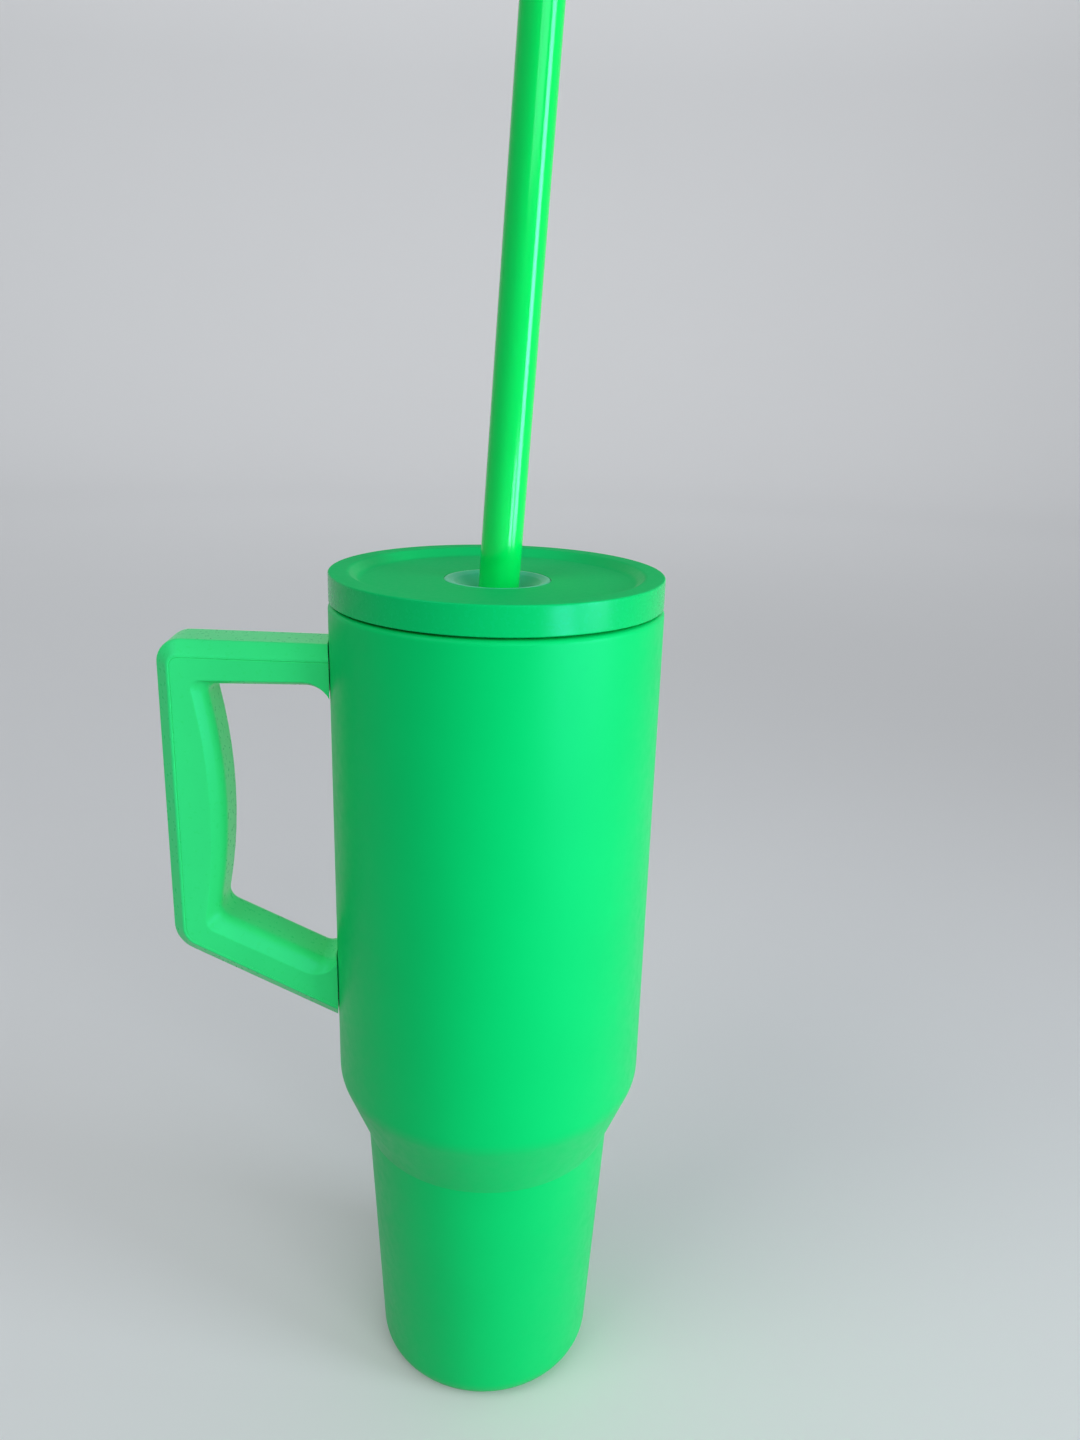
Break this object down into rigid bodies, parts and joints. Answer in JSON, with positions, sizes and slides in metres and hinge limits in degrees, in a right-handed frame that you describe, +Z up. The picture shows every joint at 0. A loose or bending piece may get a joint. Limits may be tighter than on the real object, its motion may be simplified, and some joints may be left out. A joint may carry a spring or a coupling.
{
  "type": "insulated travel mug",
  "caption": "Tall double-walled travel mug with a stepped barrel, a side handle, a screw-on lid and a straw that slides in a soft seal.",
  "frame": {"origin": "on the mug's axis, at the level of its standing ring", "axes": "+Z up along the mug's axis, handle towards -X, straw leaning towards +X"},
  "size_m": [0.1456, 0.0964, 0.4243],
  "materials": {
    "body_coat": "matte powder coat with a fine orange peel",
    "liner_steel": "circumferentially brushed, electropolished",
    "base_steel": "bare pressed sheet",
    "port_glass": "fused bead",
    "pad_rubber": "matte moulded",
    "getter_alloy": "sintered pellet",
    "spring_steel": "bent strip",
    "bracket_steel": "stamped sheet",
    "fixing_steel": "zinc plated",
    "handle_plastic": "satin moulded, fine grain",
    "cap_rubber": "matte moulded",
    "lid_plastic": "satin moulded, fine grain",
    "gasket_silicone": "translucent silicone",
    "seal_silicone": "translucent silicone",
    "straw_plastic": "glossy extruded tube"
  },
  "bodies": {
    "mug": {"outer_shell": "body_coat", "inner_liner": "liner_steel", "liner_bottom": "liner_steel", "shell_base": "base_steel", "vacuum_plug": "port_glass", "base_pad": "pad_rubber", "getter": "getter_alloy", "getter_clip": "spring_steel", "upper_bracket": "bracket_steel", "lower_bracket": "bracket_steel", "bracket_nuts": "fixing_steel", "handle_body": "handle_plastic", "handle_cover": "handle_plastic", "handle_screws": "fixing_steel", "screw_caps": "cap_rubber"},
    "lid_seal": {"lid_gasket": "gasket_silicone"},
    "lid": {"lid_top": "lid_plastic", "lid_base": "lid_plastic", "straw_seal": "seal_silicone"},
    "straw": {"straw": "straw_plastic"}
  },
  "joints": [
    {"name": "lid_rise", "type": "slide", "parent": "mug", "child": "lid_seal", "axis": [0, 0, 1], "range_m": [0, 0.018]},
    {"name": "lid_twist", "type": "hinge", "parent": "lid_seal", "child": "lid", "pos_m": [0, 0, 0.26], "axis": [0, 0, 1], "range_deg": [0, 540]},
    {"name": "straw_slide", "type": "slide", "parent": "lid", "child": "straw", "axis": [0.0558, 0, 0.9984], "range_m": [-0.097, 0.165]}
  ],
  "couplings": [
    {"joint": "lid_rise", "follows": "lid_twist", "m_per_rad": 0.0019099}
  ]
}
